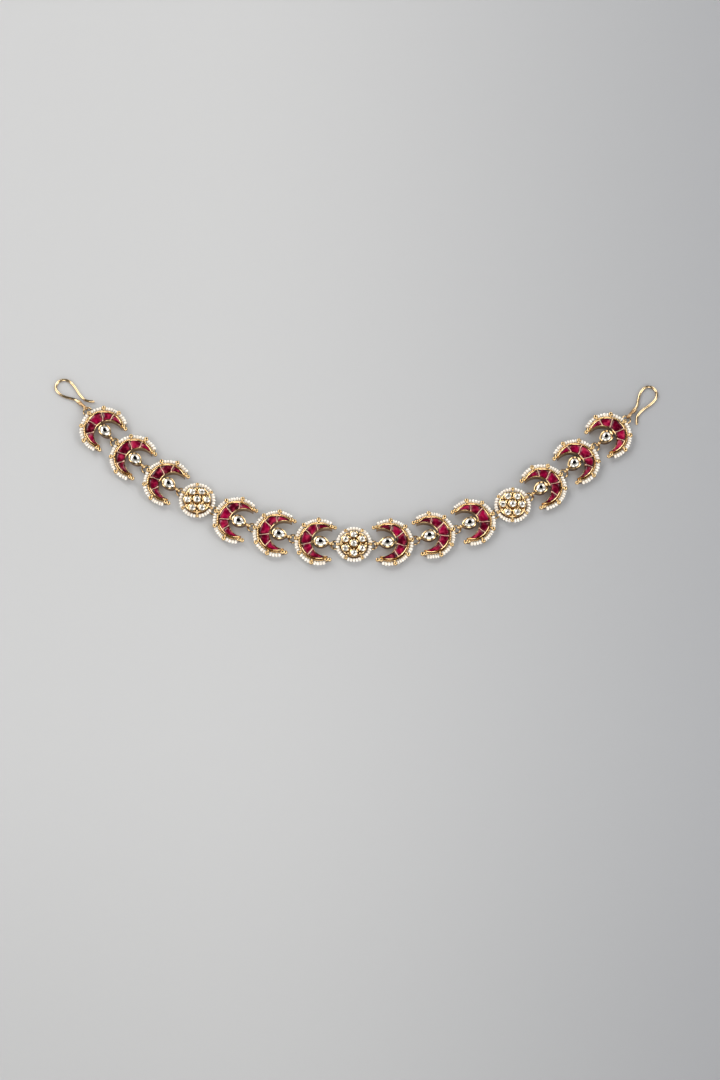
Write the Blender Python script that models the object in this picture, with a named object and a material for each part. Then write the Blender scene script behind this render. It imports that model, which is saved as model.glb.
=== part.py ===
"""Bridal head strip: crescents and seven-stone discs on jump rings, between two wire hooks.

Metres, +Z up. The strip lies open on its flat backs at z = 0. The centre disc is at the origin, +X
runs along the strip to the right and +Y to the side that both ends bend up to.
"""

import math

import bmesh
import bpy
import numpy as np
from mathutils import Matrix

# Clearances between pieces that nearly touch, and round a ring's wire in a loop
GAP = 0.0003
LOOP_GAP = 0.00025

# Jump rings, the loops that they pass through, and the seed pearls on their thread
RING_WIRE = 0.0007
RING_RADIUS = 0.00225
BAIL_WIRE = 0.0004
PEARL = 0.0019
THREAD = 0.0005

# Crescent: a tray between a rim circle and a mouth circle that is set off towards the mouth
RIM_RADIUS = 0.0102
MOUTH_RADIUS = 0.0080
MOUTH_OFFSET = 0.0041
CRESCENT_HEIGHT = 0.0047
RIM_WIDTH = 0.0005
HORN_TRIM = 0.0009
PARTITION = 0.0005
FLANGE = 0.00075
INLAY_DEPTH = 0.0004
INLAY_RISE = 0.00025
PARTITION_ANGLES = (111, 154, 206, 249)
CELL_SIDES = ((3, 2), (3, 3), (3, 3), (3, 3), (3, 2))
OUTER_STEPS = 13
INNER_STEPS = 8
STRING_END_ANGLE = 48
STRING_STEPS = 5

# Drop-shaped collet in the crescent's mouth, and the stone set in it
COLLET_RADIUS = 0.0033
COLLET_CENTRE = 0.0004
COLLET_POINT = 0.0061
COLLET_HEIGHT = 0.0045
COLLET_WALL = 0.0004
COLLET_DEPTH = 0.0016
COLLET_STEPS = 7
STONE_RISE = 0.0006
TABLE_SHARE = 0.6

# Disc: a centre stone and six more in round bezels
CENTRE_BEZEL = 0.0025
OUTER_BEZEL = 0.00215
BEZEL_SPACE = 0.00065
BEZEL_WALL = 0.0004
DISC_MARGIN = 0.00008
DISC_HEIGHT = 0.0040
DISC_FLANGE = 0.00025
OUTER_BEZEL_RISE = 0.0007
CENTRE_BEZEL_RISE = 0.0013
OUTER_STONES = 6
BEZEL_SIDES = 8
DISC_SIDES = 18
RING_STEPS = 10
RING_SIDES = 5

# Wire hook: an upright eye on the last jump ring, a shank, and a loop that lies flat
HOOK_WIRE = 0.00115
EYE_LENGTH = 0.0030
EYE_REAR = 0.0018
HOOK_SHANK = 0.0052
HOOK_REACH = 0.0163
HOOK_HALF_WIDTH = 0.0045
# The flat loop from the shank's end to the free end: shares of the reach and of the half width
HOOK_ROUTE = (
    (0.17, -0.12),
    (0.36, -0.52),
    (0.58, -0.86),
    (0.79, -0.90),
    (0.94, -0.62),
    (1.00, 0.02),
    (0.93, 0.70),
    (0.75, 1.06),
    (0.49, 1.03),
    (0.20, 0.78),
    (-0.06, 0.72),
    (-0.21, 0.94),
    (-0.34, 1.32),
)

# The strip outwards from the centre disc: piece, the rise of its own axis and the rise of the jump
# ring before it, both in degrees above the strip's line through the centre
RUN = {
    "left": (
        ("crescent", 9, 5),
        ("crescent", 15.5, 13),
        ("crescent", 24.5, 20.5),
        ("disc", 30.5, 33),
        ("crescent", 35, 27.5),
        ("crescent", 42, 40),
        ("crescent", 49.5, 43.5),
        ("hook", 45, 59),
    ),
    "right": (
        ("crescent", 6.5, 4),
        ("crescent", 15, 13),
        ("crescent", 22.5, 22.5),
        ("disc", 28.5, 20),
        ("crescent", 35, 33.5),
        ("crescent", 42, 41),
        ("crescent", 41.5, 36.5),
        ("hook", 50, 55),
    ),
}
SIDE_SIGN = {"left": -1, "right": 1}

# Heights and reaches that follow from the sizes above
BAIL_HOLE = RING_WIRE + 2 * LOOP_GAP
RING_LEVEL = BAIL_WIRE + BAIL_HOLE / 2
BAIL_TOP = 2 * BAIL_WIRE + BAIL_HOLE
STRING_LEVEL = max(BAIL_TOP + GAP + THREAD / 2, RING_LEVEL + RING_WIRE / 2 + GAP + PEARL / 2)
FLANGE_FOOT = (BAIL_TOP + STRING_LEVEL) / 2
CRESCENT_STRING = RIM_RADIUS + FLANGE + GAP + PEARL / 2
BACK_REACH = CRESCENT_STRING
TIP_REACH = COLLET_POINT + LOOP_GAP + RING_WIRE / 2
STONE_RING = CENTRE_BEZEL + BEZEL_SPACE + OUTER_BEZEL
DISC_RADIUS = STONE_RING + OUTER_BEZEL + DISC_MARGIN
DISC_STRING = DISC_RADIUS + DISC_FLANGE + GAP + PEARL / 2
DISC_REACH = DISC_RADIUS + LOOP_GAP + RING_WIRE / 2
EYE_HALF_HEIGHT = (HOOK_WIRE + RING_WIRE) / 2 + LOOP_GAP
EYE_LEVEL = HOOK_WIRE / 2 + EYE_HALF_HEIGHT


def material(name, colour, roughness, metallic):
    made = bpy.data.materials.new(name)
    made.use_nodes = True
    shader = made.node_tree.nodes["Principled BSDF"]
    shader.inputs["Base Color"].default_value = (*colour, 1)
    shader.inputs["Roughness"].default_value = roughness
    shader.inputs["Metallic"].default_value = metallic
    return made


def polar(radius, degrees):
    return (radius * math.cos(math.radians(degrees)), radius * math.sin(math.radians(degrees)))


def mesh_from(bm, name, smooth_below=35):
    """The bmesh as a mesh with outward faces, smooth where it bends by less than the given angle."""
    bmesh.ops.recalc_face_normals(bm, faces=bm.faces[:])
    made = bpy.data.meshes.new(name)
    bm.to_mesh(made)
    bm.free()
    made.shade_smooth()
    made.set_sharp_from_angle(angle=math.radians(smooth_below))
    return made


def ring_of(bm, points, height):
    return [bm.verts.new((x, y, height)) for x, y in points]


def band(bm, lower, upper, stone=False):
    """Quads between two closed rings of equally many points."""
    for i in range(len(lower)):
        j = (i + 1) % len(lower)
        face = bm.faces.new((lower[i], lower[j], upper[j], upper[i]))
        face.material_index = int(stone)


def fill_between(bm, rings):
    """Triangles in the flat region inside the first ring and outside the others."""
    edges = []
    for ring in rings:
        for i in range(len(ring)):
            pair = (ring[i], ring[(i + 1) % len(ring)])
            edges.append(bm.edges.get(pair) or bm.edges.new(pair))
    bmesh.ops.triangle_fill(bm, use_beauty=True, use_dissolve=False, edges=edges)


def set_stone(bm, girdle, outline, height):
    """A cut stone on its girdle ring: sloped facets up to a flat table."""
    table = ring_of(bm, shrunk(outline, TABLE_SHARE), height)
    band(bm, girdle, table, stone=True)
    face = bm.faces.new(table)
    face.material_index = 1


def shrunk(points, share):
    """The outline drawn in towards its middle, so that share of its size is left."""
    middle = np.mean(points, axis=0)
    return [tuple(middle + (np.array(point) - middle) * share) for point in points]


def mouth_edge(degrees, radius):
    """The distance from the rim circle's centre to a circle round the mouth's centre, one way."""
    across = MOUTH_OFFSET * math.sin(math.radians(degrees))
    return MOUTH_OFFSET * math.cos(math.radians(degrees)) + math.sqrt(radius**2 - across**2)


def meeting_angle(rim, mouth):
    """The angle at which a rim circle and a mouth circle of these radii cross."""
    cosine = (rim**2 + MOUTH_OFFSET**2 - mouth**2) / (2 * rim * MOUTH_OFFSET)
    return math.degrees(math.acos(cosine))


def between(start, end, steps):
    return [start + (end - start) * i / steps for i in range(steps + 1)]


def inlay_cell(start, end, outer_steps, inner_steps):
    """The outline of one inlaid stone, from one partition's face to the next or to the horn's end."""
    rim = RIM_RADIUS - RIM_WIDTH
    mouth = MOUTH_RADIUS + RIM_WIDTH
    horn = meeting_angle(rim, mouth)
    points = []
    for degrees in between(start, end, outer_steps):
        points.append((degrees, rim))
    for degrees in between(end, start, inner_steps):
        points.append((degrees, mouth_edge(degrees, mouth)))
    if start <= horn:
        points.pop()
    if end >= 360 - horn:
        points.pop(outer_steps + 1)
    placed = []
    for degrees, radius in points:
        turn = math.degrees(math.asin(PARTITION / 2 / radius))
        if degrees == start and start > horn:
            degrees += turn
        if degrees == end and end < 360 - horn:
            degrees -= turn
        placed.append(polar(radius, degrees))
    return placed


def crescent_tray():
    """The tray with its flange, its partitions and the five inlaid stones."""
    bm = bmesh.new()
    horn = meeting_angle(RIM_RADIUS, MOUTH_RADIUS) + math.degrees(HORN_TRIM / RIM_RADIUS)
    outer_angles = between(horn, 360 - horn, OUTER_STEPS)
    inner_angles = between(360 - horn, horn, INNER_STEPS)
    inner = [polar(mouth_edge(a, MOUTH_RADIUS), a) for a in inner_angles]
    levels = ((0, 0), (FLANGE_FOOT, 0), (STRING_LEVEL, FLANGE), (CRESCENT_HEIGHT, 0))
    outer_rings = []
    for height, swell in levels:
        points = [polar(RIM_RADIUS + swell, a) for a in outer_angles]
        points[0] = polar(RIM_RADIUS, outer_angles[0])
        points[-1] = polar(RIM_RADIUS, outer_angles[-1])
        outer_rings.append(ring_of(bm, points, height))
    for lower, upper in zip(outer_rings, outer_rings[1:]):
        for i in range(len(lower) - 1):
            bm.faces.new((lower[i], lower[i + 1], upper[i + 1], upper[i]))
    inner_low = ring_of(bm, inner, 0)
    inner_high = ring_of(bm, inner, CRESCENT_HEIGHT)
    for i in range(len(inner_low) - 1):
        bm.faces.new((inner_low[i], inner_low[i + 1], inner_high[i + 1], inner_high[i]))
    bm.faces.new([ring[-1] for ring in outer_rings] + [inner_high[0], inner_low[0]])
    bm.faces.new([ring[0] for ring in outer_rings] + [inner_high[-1], inner_low[-1]])
    bm.faces.new(outer_rings[0] + inner_low)

    horn = meeting_angle(RIM_RADIUS - RIM_WIDTH, MOUTH_RADIUS + RIM_WIDTH)
    edges = (horn, *PARTITION_ANGLES, 360 - horn)
    openings = []
    for start, end, steps in zip(edges, edges[1:], CELL_SIDES):
        outline = inlay_cell(start, end, *steps)
        mouth = ring_of(bm, outline, CRESCENT_HEIGHT)
        openings.append(mouth)
        girdle = ring_of(bm, outline, CRESCENT_HEIGHT - INLAY_DEPTH)
        band(bm, mouth, girdle)
        set_stone(bm, girdle, outline, CRESCENT_HEIGHT - INLAY_DEPTH + INLAY_RISE)
    fill_between(bm, [outer_rings[-1] + inner_high, *openings])
    return mesh_from(bm, "crescent_tray")


def drop_outline(radius, centre, point):
    """A drop: a circle round (centre, 0) drawn out to a point at (point, 0) by its two tangents."""
    touch = math.degrees(math.acos(radius / (point - centre)))
    points = [(point, 0.0)]
    for degrees in between(touch, 360 - touch, COLLET_STEPS):
        x, y = polar(radius, degrees)
        points.append((centre + x, y))
    return points


def collet():
    """A drop-shaped tube with a floor for the stone, soldered to the crescent's inner wall."""
    bm = bmesh.new()
    outer = drop_outline(COLLET_RADIUS, COLLET_CENTRE, COLLET_POINT)
    inner = drop_outline(COLLET_RADIUS - COLLET_WALL, COLLET_CENTRE, COLLET_POINT - 2 * COLLET_WALL)
    back = -mouth_edge(180, MOUTH_RADIUS + RIM_WIDTH / 2)
    rear = 1 + COLLET_STEPS // 2
    for i in (rear, rear + 1):
        outer[i] = (back, outer[i][1])
    low = ring_of(bm, outer, 0)
    high = ring_of(bm, outer, COLLET_HEIGHT)
    lip = ring_of(bm, inner, COLLET_HEIGHT)
    seat = ring_of(bm, inner, COLLET_HEIGHT - COLLET_DEPTH)
    band(bm, low, high)
    band(bm, high, lip)
    band(bm, lip, seat)
    bm.faces.new(low)
    bm.faces.new(seat)
    return mesh_from(bm, "collet")


def tube(path, normal, radius, sides, closed):
    """A round wire along a path that lies in one plane, closed to a ring or with flat ends."""
    bm = bmesh.new()
    path = np.array(path, float)
    normal = np.array(normal, float)
    if closed:
        along = np.roll(path, -1, axis=0) - np.roll(path, 1, axis=0)
    else:
        along = np.gradient(path, axis=0)
    along /= np.linalg.norm(along, axis=1)[:, None]
    side = np.cross(along, normal)
    turn = np.arange(sides) * 2 * math.pi / sides
    rings = []
    for point, across in zip(path, side):
        corners = point + radius * (
            np.outer(np.cos(turn), normal) + np.outer(np.sin(turn), across)
        )
        rings.append([bm.verts.new(corner) for corner in corners])
    for lower, upper in zip(rings, rings[1:]):
        band(bm, lower, upper)
    if closed:
        band(bm, rings[-1], rings[0])
    else:
        bm.faces.new(rings[0])
        bm.faces.new(rings[-1])
    return mesh_from(bm, "wire")


def bail(wall, reach):
    """An upright staple along +X: out of the wall, round the ring's wire and back into the wall."""
    rise = (BAIL_HOLE + BAIL_WIRE) / 2
    root = wall - RIM_WIDTH
    turn = reach + LOOP_GAP + RING_WIRE / 2 + BAIL_WIRE / 2 - rise
    path = [(root, 0, RING_LEVEL - rise)]
    for degrees in between(-90, 90, 3):
        x, z = polar(rise, degrees)
        path.append((turn + x, 0, RING_LEVEL + z))
    path.append((root, 0, RING_LEVEL + rise))
    return tube(path, (0, 1, 0), BAIL_WIRE / 2, RING_SIDES, closed=False)


def turned(mesh, degrees):
    mesh.transform(Matrix.Rotation(math.radians(degrees), 4, "Z"))
    return mesh


def fused(name, meshes):
    """The meshes joined into one closed body."""
    holders = [bpy.data.objects.new(f"{name}_{i}", mesh) for i, mesh in enumerate(meshes)]
    for holder in holders:
        bpy.context.collection.objects.link(holder)
    for cutter in holders[1:]:
        union = holders[0].modifiers.new("union", "BOOLEAN")
        union.operation = "UNION"
        union.object = cutter
    graph = bpy.context.evaluated_depsgraph_get()
    whole = bpy.data.meshes.new_from_object(holders[0].evaluated_get(graph))
    whole.name = name
    for holder in holders:
        bpy.data.objects.remove(holder)
    return whole


def crescent_frame():
    pieces = [crescent_tray(), collet()]
    pieces.append(turned(bail(RIM_RADIUS, BACK_REACH), 180))
    pieces.append(bail(COLLET_POINT - COLLET_WALL, TIP_REACH))
    return fused("crescent_frame", pieces)


def disc_frame():
    """A round body with seven bezels, their stones, and a bail at each side."""
    bm = bmesh.new()
    turn = 360 / DISC_SIDES
    rings = []
    for height, swell in ((0, 0), (FLANGE_FOOT, 0), (STRING_LEVEL, DISC_FLANGE), (DISC_HEIGHT, 0)):
        outline = [polar(DISC_RADIUS + swell, i * turn) for i in range(DISC_SIDES)]
        rings.append(ring_of(bm, outline, height))
    for lower, upper in zip(rings, rings[1:]):
        band(bm, lower, upper)
    bm.faces.new(rings[0])
    seats = [((0, 0), CENTRE_BEZEL, CENTRE_BEZEL_RISE, 0)]
    for i in range(OUTER_STONES):
        angle = 360 * (i + 0.5) / OUTER_STONES
        seats.append((polar(STONE_RING, angle), OUTER_BEZEL, OUTER_BEZEL_RISE, angle))
    feet = []
    for (x, y), radius, rise, angle in seats:
        corners = [angle + (i + 0.5) * 360 / BEZEL_SIDES for i in range(BEZEL_SIDES)]
        outer = [(x + px, y + py) for px, py in (polar(radius, c) for c in corners)]
        inner = [(x + px, y + py) for px, py in (polar(radius - BEZEL_WALL, c) for c in corners)]
        foot = ring_of(bm, outer, DISC_HEIGHT)
        top = ring_of(bm, outer, DISC_HEIGHT + rise)
        lip = ring_of(bm, inner, DISC_HEIGHT + rise)
        feet.append(foot)
        band(bm, foot, top)
        band(bm, top, lip)
        set_stone(bm, lip, inner, DISC_HEIGHT + rise + INLAY_RISE)
    fill_between(bm, [rings[-1], *feet])
    body = mesh_from(bm, "disc_body")
    bails = [bail(DISC_RADIUS, DISC_REACH), turned(bail(DISC_RADIUS, DISC_REACH), 180)]
    return fused("disc_frame", [body, *bails])


def mouth_stone():
    """A drop-shaped clear stone: flat base, girdle, sloped facets and a table."""
    bm = bmesh.new()
    radius = COLLET_RADIUS - COLLET_WALL - GAP
    point = COLLET_POINT - 2 * COLLET_WALL - 2 * GAP
    outline = drop_outline(radius, COLLET_CENTRE, point)
    base = COLLET_HEIGHT - COLLET_DEPTH + GAP
    low = ring_of(bm, outline, base)
    girdle = ring_of(bm, outline, COLLET_HEIGHT - STONE_RISE / 2)
    table = ring_of(bm, shrunk(outline, TABLE_SHARE), COLLET_HEIGHT + STONE_RISE)
    band(bm, low, girdle)
    band(bm, girdle, table)
    bm.faces.new(low)
    bm.faces.new(table)
    return mesh_from(bm, "mouth_stone", smooth_below=5)


def string_curve(name, points, shares, closed):
    """A string of seed pearls as one tube, drawn in to its thread where it passes a bail."""
    curve = bpy.data.curves.new(name, "CURVE")
    curve.dimensions = "3D"
    curve.bevel_depth = PEARL / 2
    curve.bevel_resolution = 2
    curve.use_fill_caps = True
    spline = curve.splines.new("POLY")
    spline.points.add(len(points) - 1)
    for point, (x, y), share in zip(spline.points, points, shares):
        point.co = (x, y, STRING_LEVEL, 1)
        point.radius = share
    spline.use_cyclic_u = closed
    return curve


def string_run(radius, start, end, steps):
    """Angles, chord-corrected radii and thicknesses of the pearls between two ends."""
    swell = 1 / math.cos(math.radians((end - start) / steps / 2))
    return [(a, radius * swell, 1.0) for a in between(start, end, steps)]


def waist_angles(radius):
    """Where the pearls stop beside a bail, and where the tube is down to the thread."""
    thin = BAIL_WIRE / 2 + GAP + THREAD / 2
    return math.degrees((thin + THREAD) / radius), math.degrees(thin / radius)


def crescent_string():
    full, thin = waist_angles(CRESCENT_STRING)
    share = THREAD / PEARL
    run = string_run(CRESCENT_STRING, STRING_END_ANGLE, 180 - full, STRING_STEPS)
    run.append((180 - thin, CRESCENT_STRING, share))
    run += [(360 - a, r, s) for a, r, s in reversed(run)]
    return string_curve("crescent_string", [polar(r, a) for a, r, s in run], [s for a, r, s in run], False)


def disc_string():
    full, thin = waist_angles(DISC_STRING)
    share = THREAD / PEARL
    half = [(thin, DISC_STRING, share)]
    half += string_run(DISC_STRING, full, 180 - full, STRING_STEPS + 1)
    half.append((180 - thin, DISC_STRING, share))
    run = half + [(a + 180, r, s) for a, r, s in half]
    return string_curve("disc_string", [polar(r, a) for a, r, s in run], [s for a, r, s in run], True)


def jump_ring():
    circle = [(*polar(RING_RADIUS, i * 360 / RING_STEPS), 0) for i in range(RING_STEPS)]
    return tube(circle, (0, 0, 1), RING_WIRE / 2, RING_SIDES, closed=True)


def through(points, steps):
    """A smooth path through the points, each span cut into steps: the Catmull-Rom form."""
    points = [np.array(point, float) for point in points]
    points = [2 * points[0] - points[1], *points, 2 * points[-1] - points[-2]]
    path = []
    for a, b, c, d in zip(points, points[1:], points[2:], points[3:]):
        for i in range(steps):
            t = i / steps
            path.append(
                b
                + (c - a) * t / 2
                + (2 * a - 5 * b + 4 * c - d) * t**2 / 2
                + (3 * b - a - 3 * c + d) * t**3 / 2
            )
    path.append(points[-2])
    return path


def hook_curve():
    """One wire from its cut end over the shank, round the upright eye and along the flat loop.

    Local +X runs out along the shank from the jump ring's wire, and the loop closes towards -Y.
    """
    floor = HOOK_WIRE / 2
    end_turn = LOOP_GAP + (RING_WIRE + HOOK_WIRE) / 2
    eye = [
        (EYE_LENGTH + HOOK_WIRE / 2, 0, floor + HOOK_WIRE + GAP),
        (EYE_REAR, 0, floor + 2 * EYE_HALF_HEIGHT - GAP),
    ]
    for degrees in between(90, 270, 5):
        x, z = polar(EYE_HALF_HEIGHT, degrees)
        eye.append((EYE_HALF_HEIGHT - end_turn + x, 0, EYE_LEVEL + z))
    eye.append((EYE_LENGTH, 0, floor))
    eye.append((HOOK_SHANK, 0, floor))
    loop = [(HOOK_SHANK + u * HOOK_REACH, -v * HOOK_HALF_WIDTH, floor) for u, v in HOOK_ROUTE]
    path = eye[:-1] + through([eye[-1], *loop], 2)
    curve = bpy.data.curves.new("hook", "CURVE")
    curve.dimensions = "3D"
    curve.bevel_depth = HOOK_WIRE / 2
    curve.bevel_resolution = 1
    curve.use_fill_caps = True
    spline = curve.splines.new("POLY")
    spline.points.add(len(path) - 1)
    for point, place in zip(spline.points, path):
        point.co = (*place, 1)
    return curve


def add(name, data, materials, matrix):
    piece = bpy.data.objects.new(name, data)
    bpy.context.collection.objects.link(piece)
    piece.matrix_world = matrix
    data.materials.clear()
    for made in materials:
        data.materials.append(made)
    return piece


def at(x, y, degrees, height=0.0):
    return Matrix.Translation((x, y, height)) @ Matrix.Rotation(math.radians(degrees), 4, "Z")


def place_ring(name, mesh, metal, start, rise, sign, climb=0.0):
    """A ring whose wire passes through the loop at start, and the point at its other side."""
    degrees = rise if sign > 0 else 180 - rise
    tilt = math.asin(climb / (2 * RING_RADIUS))
    reach = RING_RADIUS * math.cos(tilt)
    step = np.array(polar(reach, degrees))
    middle = start + step
    matrix = at(*middle, degrees, RING_LEVEL + climb / 2) @ Matrix.Rotation(-tilt, 4, "Y")
    add(name, mesh, [metal], matrix)
    return middle + step


def build():
    gold = material("gold", (0.83, 0.60, 0.27), 0.22, 1.0)
    ruby = material("inlaid_red_stone", (0.32, 0.004, 0.045), 0.08, 0.0)
    crystal = material("clear_stone", (0.86, 0.86, 0.84), 0.04, 0.0)
    pearl = material("seed_pearl", (0.90, 0.86, 0.78), 0.25, 0.0)
    shapes = {
        "crescent": crescent_frame(),
        "stone": mouth_stone(),
        "string": crescent_string(),
        "disc": disc_frame(),
        "disc_string": disc_string(),
        "ring": jump_ring(),
        "hook": hook_curve(),
    }
    add("disc_centre", shapes["disc"], [gold, crystal], at(0, 0, 0))
    add("disc_pearls_centre", shapes["disc_string"], [pearl], at(0, 0, 0))
    for side, sign in SIDE_SIGN.items():
        here = np.array((sign * DISC_REACH, 0.0))
        crescents = 0
        for number, (kind, rise, ring_rise) in enumerate(RUN[side], start=1):
            name = f"jump_ring_{side}_{number}"
            climb = EYE_LEVEL - RING_LEVEL if kind == "hook" else 0.0
            here = place_ring(name, shapes["ring"], gold, here, ring_rise, sign, climb)
            outwards = rise if sign > 0 else 180 - rise
            ahead = np.array(polar(1, outwards))
            if kind == "crescent":
                crescents += 1
                spot = at(*(here + TIP_REACH * ahead), outwards + 180)
                end = f"{side}_{crescents}"
                add(f"crescent_{end}", shapes["crescent"], [gold, ruby], spot)
                add(f"mouth_stone_{end}", shapes["stone"], [crystal], spot)
                add(f"pearl_string_{end}", shapes["string"], [pearl], spot)
                here = here + (TIP_REACH + BACK_REACH) * ahead
            elif kind == "disc":
                spot = at(*(here + DISC_REACH * ahead), outwards)
                add(f"disc_{side}", shapes["disc"], [gold, crystal], spot)
                add(f"disc_pearls_{side}", shapes["disc_string"], [pearl], spot)
                here = here + 2 * DISC_REACH * ahead
            else:
                add(f"hook_{side}", shapes["hook"], [gold], at(*here, outwards))


for leftover in list(bpy.data.objects):
    bpy.data.objects.remove(leftover)
build()
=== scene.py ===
"""Bridal head strip, dressed over its CAD frame: inlaid crescents, seven-stone discs and wire hooks.

Shapes are worked out in millimetres in each motif's own plane, then placed where the frame's node
lies and written to the mesh in metres.
"""

import math

import bmesh
import bpy
import numpy as np
from mathutils import Matrix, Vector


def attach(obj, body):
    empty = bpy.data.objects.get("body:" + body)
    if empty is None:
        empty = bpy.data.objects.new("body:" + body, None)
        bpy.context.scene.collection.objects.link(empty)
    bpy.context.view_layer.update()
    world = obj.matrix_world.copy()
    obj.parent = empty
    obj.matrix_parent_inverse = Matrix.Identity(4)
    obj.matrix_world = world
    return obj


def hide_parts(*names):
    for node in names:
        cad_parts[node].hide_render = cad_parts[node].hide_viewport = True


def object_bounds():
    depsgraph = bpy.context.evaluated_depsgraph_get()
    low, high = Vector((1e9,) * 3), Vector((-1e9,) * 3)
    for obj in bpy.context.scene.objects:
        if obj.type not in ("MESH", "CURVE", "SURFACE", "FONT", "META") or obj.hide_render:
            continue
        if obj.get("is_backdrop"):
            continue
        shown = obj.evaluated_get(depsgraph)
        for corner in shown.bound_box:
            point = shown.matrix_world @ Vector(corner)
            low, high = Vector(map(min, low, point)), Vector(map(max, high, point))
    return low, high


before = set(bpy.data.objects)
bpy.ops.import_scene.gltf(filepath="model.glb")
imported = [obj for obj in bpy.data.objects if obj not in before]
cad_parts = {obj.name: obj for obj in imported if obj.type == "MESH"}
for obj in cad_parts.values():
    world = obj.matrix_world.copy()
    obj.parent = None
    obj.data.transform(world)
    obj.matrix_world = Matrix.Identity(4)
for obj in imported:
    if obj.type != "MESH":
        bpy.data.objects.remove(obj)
cad_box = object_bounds()
bpy.context.scene.view_settings.view_transform = "Standard"


# Crescent trays: each is a sheet-gold tray, bent to a crescent and soldered shut at its horns,
# with a rolled rim that holds the inlay, thin hammered partitions across it with a painted pink
# reflection of the stones, and a beaded wire that lies on a flange round its outer wall.

SIDES = ("left", "right")
CRESCENTS = [f"{side}_{number}" for side in SIDES for number in range(1, 7)]
STONE_POINT = 4.7
RIM_RADIUS = 10.2
MOUTH_RADIUS = 8.0
MOUTH_OFFSET = 4.1
HORN_ANGLE = 52.3
RIM_WIDTH = 0.43
WIRE_RADIUS = 10.78
WIRE_LEVEL = 3.45
WIRE_BEADS = 46
WIRE_THICKNESS = 0.50
TRAY_STEPS = 109
RIM_WOBBLE = 0.05
MOUTH_WOBBLE = 0.03
HORN_TAPER = 7
UP = (0, 0, 1)
PARTITION_ANGLES = {"left": (107, 150, 200, 244), "right": (116, 160, 210, 253)}
PARTITION_LEVEL = 4.52
PARTITION_SWAY = 3
PARTITION_BENDS = ((-1.8, -1.3), (1.8, 1.3))
PARTITION_OVERLAP = 0.3
# Section of the tray's outer side from its foot to the inlay, and of its inner side from the inlay
# back to the foot: out from the edge's circle, share of the rim's width inwards, height, and how
# light the place is painted: painted shade low on the walls and behind the beaded wire, painted
# light on the rim's top
OUTER_SECTION = np.array(
    [
        (0.00, 0.00, 0.00, 0.10),
        (0.02, 0.00, 1.10, 0.35),
        (0.05, 0.00, 2.20, 0.40),
        (0.60, 0.00, 2.38, 0.60),
        (0.66, 0.00, 2.62, 0.50),
        (0.20, 0.00, 2.80, 0.00),
        (0.00, 0.00, 3.05, 0.05),
        (0.00, 0.00, 4.30, 0.70),
        (0.00, 0.12, 4.62, 0.95),
        (0.00, 0.50, 4.76, 1.00),
        (0.00, 0.88, 4.62, 0.95),
        (0.00, 1.02, 4.30, 0.30),
        (0.00, 1.04, 3.90, 0.00),
    ]
)
INNER_SECTION = np.array(
    [
        (0.00, 1.04, 3.90, 0.00),
        (0.00, 1.02, 4.30, 0.30),
        (0.00, 0.88, 4.62, 0.95),
        (0.00, 0.50, 4.76, 1.00),
        (0.00, 0.12, 4.62, 0.95),
        (0.00, 0.00, 4.30, 0.80),
        (0.02, 0.00, 2.60, 0.45),
        (0.04, 0.00, 1.10, 0.30),
        (0.00, 0.00, 0.00, 0.20),
    ]
)
# The bright gold is that of lit tops; the deep gold is the colour of painted shade in recesses and on
# undersides.
GOLD_BRIGHT = (1.0, 0.75, 0.40, 1)
GOLD_PAINTED_SHADE = (0.20, 0.062, 0.005, 1)
# The partitions' pink is a painted reflection of the rubies.
GOLD_PINK_PAINTED_REFLECTION = (1.0, 0.66, 0.50, 1)
ROUND_CREASE = 60
chance = np.random.default_rng(11)


def node_points(name):
    """The separate corner points of a frame node, in millimetres."""
    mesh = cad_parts[name].data
    points = np.empty(len(mesh.vertices) * 3)
    mesh.vertices.foreach_get("co", points)
    return np.unique(np.round(points.reshape(-1, 3) * 1000, 4), axis=0)


def crescent_spot(key):
    """Centre of the rim circle and the way to the mouth, from the drop stone's point."""
    points = node_points(f"mouth_stone_{key}")[:, :2]
    middle = points.mean(axis=0)
    away = np.linalg.norm(points - middle, axis=1)
    point = points[away.argmax()]
    ahead = (point - middle) / away.max()
    return point - STONE_POINT * ahead, ahead


def placed(points, spot):
    """Local x along the spot's heading, local y to its left, local z up."""
    centre, ahead = spot
    aside = np.array([-ahead[1], ahead[0]])
    flat = centre + points[..., :1] * ahead + points[..., 1:2] * aside
    return np.concatenate([flat, points[..., 2:]], axis=-1)


def set_down(bodies, spot):
    """The bodies with their points placed at the spot."""
    return [(placed(points, spot), *rest) for points, *rest in bodies]


def stacked(rings, shade=0.8, closed=False):
    """Rings of equally many points joined by quads; an open end is a fan on the ring's mean point."""
    count, around = rings.shape[:2]
    place = np.arange(count * around).reshape(count, around)
    ahead = np.roll(place, -1, axis=1)
    rows = slice(None) if closed else slice(0, -1)
    upper, upper_ahead = np.roll(place, -1, axis=0), np.roll(ahead, -1, axis=0)
    quads = np.stack([place[rows], ahead[rows], upper_ahead[rows], upper[rows]], axis=-1)
    points = rings.reshape(-1, 3)
    shades = np.broadcast_to(shade, (count, around)).reshape(-1).astype(float)
    fans = np.empty((0, 3), int)
    if not closed:
        points = np.concatenate([points, rings[[0, -1]].mean(axis=1)])
        shades = np.concatenate([shades, shades[[0, -1]]])
        hub = np.full(around, count * around)
        fans = np.concatenate(
            [
                np.stack([ahead[0], place[0], hub], axis=-1),
                np.stack([place[-1], ahead[-1], hub + 1], axis=-1),
            ]
        )
    return points, quads.reshape(-1, 4), fans, shades


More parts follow.
